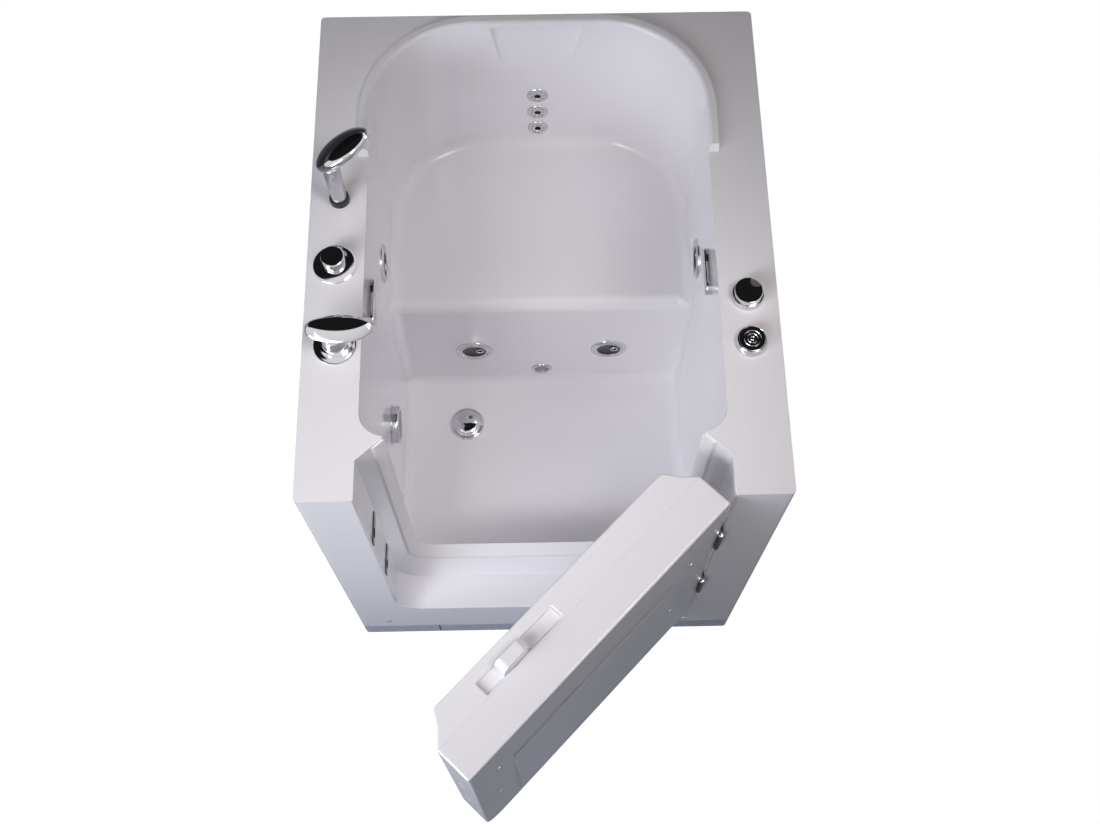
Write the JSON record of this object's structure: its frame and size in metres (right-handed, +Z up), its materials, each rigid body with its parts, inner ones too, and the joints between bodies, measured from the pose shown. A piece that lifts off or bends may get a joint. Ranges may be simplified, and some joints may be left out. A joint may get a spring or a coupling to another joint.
{
  "type": "walk-in bathtub",
  "caption": "Walk-in bathtub with an outward-opening hinged door, bench seat, deep foot well, water massage jets, deck-mounted taps and a hand shower.",
  "frame": {"origin": "on the floor at the middle of the tub's footprint, which is the underside of the middle levelling foot", "axes": "+Z up, +Y from the door side to the back, +X to the right as seen from the front"},
  "size_m": [0.813, 1.4066, 1.084],
  "materials": {
    "shell_white": "polished moulded acrylic",
    "handle_white": "polished",
    "seal_white": "satin silicone",
    "frame_steel": "brushed",
    "foot_rubber": "matte",
    "chrome": "polished",
    "hinge_black": "satin",
    "black_gloss": "polished",
    "jet_grey": "satin",
    "lens_grey": "frosted",
    "suction_grey": "satin",
    "pipe_white": "matte",
    "supply_copper": "satin",
    "motor_grey": "cast, painted",
    "hose_black": "matte"
  },
  "bodies": {
    "tub": {"tub_shell": "shell_white", "toe_strip_left": "shell_white", "toe_strip_right": "shell_white", "left_side_panel": "shell_white", "right_side_panel": "shell_white", "base_side_rails": "frame_steel", "base_cross_rails": "frame_steel", "frame_posts": "frame_steel", "deck_rails": "frame_steel", "seat_rails": "frame_steel", "floor_rails": "frame_steel", "levelling_feet": "foot_rubber", "foot_locknuts": "frame_steel", "apron_screws": "chrome", "door_seal": "seal_white", "strike_plates": "chrome", "jamb_hinge_leaves": "hinge_black", "hinge_pins": "chrome", "back_jets": "chrome", "riser_jet_bodies": "chrome", "side_jet_bodies": "chrome", "jet_locknuts": "jet_grey", "lamp_bezel": "chrome", "lamp_lens": "lens_grey", "suction_body": "chrome", "suction_cover": "suction_grey", "overflow_covers": "chrome", "overflow_pipes": "pipe_white", "drain_flange": "chrome", "waste_pipe": "pipe_white", "spout_base": "chrome", "spout_leaf": "chrome", "mixer_base": "chrome", "supply_pipes": "supply_copper", "shower_socket": "black_gloss", "air_control_base": "chrome", "button_bezel": "chrome", "pump_plate": "frame_steel", "pump_motor": "motor_grey", "pump_housing": "pipe_white", "suction_pipe": "pipe_white", "jet_manifold": "pipe_white", "air_hose": "hose_black"},
    "door": {"door_front_shell": "shell_white", "door_back_shell": "shell_white", "door_frame": "frame_steel", "door_screws": "chrome", "door_hinge_leaves": "hinge_black"},
    "latch": {"latch_bar": "frame_steel", "latch_bolts": "chrome", "door_handle": "handle_white"},
    "drain_plug": {"drain_plug": "chrome"},
    "mixer_knob": {"mixer_knob": "chrome"},
    "hand_shower": {"hand_shower": "black_gloss"},
    "air_control_knob": {"air_control_knob": "black_gloss"},
    "push_button": {"push_button": "black_gloss"},
    "riser_jet_face_left": {"riser_jet_face_left": "jet_grey"},
    "riser_jet_face_right": {"riser_jet_face_right": "jet_grey"},
    "side_jet_face_left": {"side_jet_face_left": "jet_grey"},
    "side_jet_face_right": {"side_jet_face_right": "jet_grey"}
  },
  "joints": [
    {"name": "door_hinge", "type": "hinge", "parent": "tub", "child": "door", "pos_m": [0.305, -0.494, 0], "axis": [0, 0, 1], "range_deg": [-45.5, 64.5]},
    {"name": "latch_slide", "type": "slide", "parent": "door", "child": "latch", "axis": [-0.7009, -0.7133, 0], "range_m": [-0.06, 0.028]},
    {"name": "drain_plug_lift", "type": "slide", "parent": "tub", "child": "drain_plug", "axis": [0, 0, 1], "range_m": [0, 0.012]},
    {"name": "mixer_turn", "type": "hinge", "parent": "tub", "child": "mixer_knob", "pos_m": [-0.357, -0.05, 0.95], "axis": [0, 0, 1], "range_deg": [-60, 90]},
    {"name": "hand_shower_lift", "type": "slide", "parent": "tub", "child": "hand_shower", "axis": [0, 0, 1], "range_m": [0, 0.3]},
    {"name": "air_control_turn", "type": "hinge", "parent": "tub", "child": "air_control_knob", "pos_m": [0.354, -0.123, 0.95], "axis": [0, 0, 1], "range_deg": [-90, 90]},
    {"name": "button_press", "type": "slide", "parent": "tub", "child": "push_button", "axis": [0, 0, -1], "range_m": [0, 0.004], "stiffness_N_per_m": 800},
    {"name": "riser_jet_left_turn", "type": "hinge", "parent": "tub", "child": "riser_jet_face_left", "pos_m": [-0.146, 0.055, 0.356], "axis": [0, -1, 0], "range_deg": [0, 90]},
    {"name": "riser_jet_right_turn", "type": "hinge", "parent": "tub", "child": "riser_jet_face_right", "pos_m": [0.146, 0.055, 0.356], "axis": [0, -1, 0], "range_deg": [0, 90]},
    {"name": "side_jet_left_turn", "type": "hinge", "parent": "tub", "child": "side_jet_face_left", "pos_m": [-0.306, 0.087, 0.69], "axis": [1, 0, 0], "range_deg": [0, 90]},
    {"name": "side_jet_right_turn", "type": "hinge", "parent": "tub", "child": "side_jet_face_right", "pos_m": [0.306, 0.087, 0.69], "axis": [-1, 0, 0], "range_deg": [0, 90]}
  ]
}
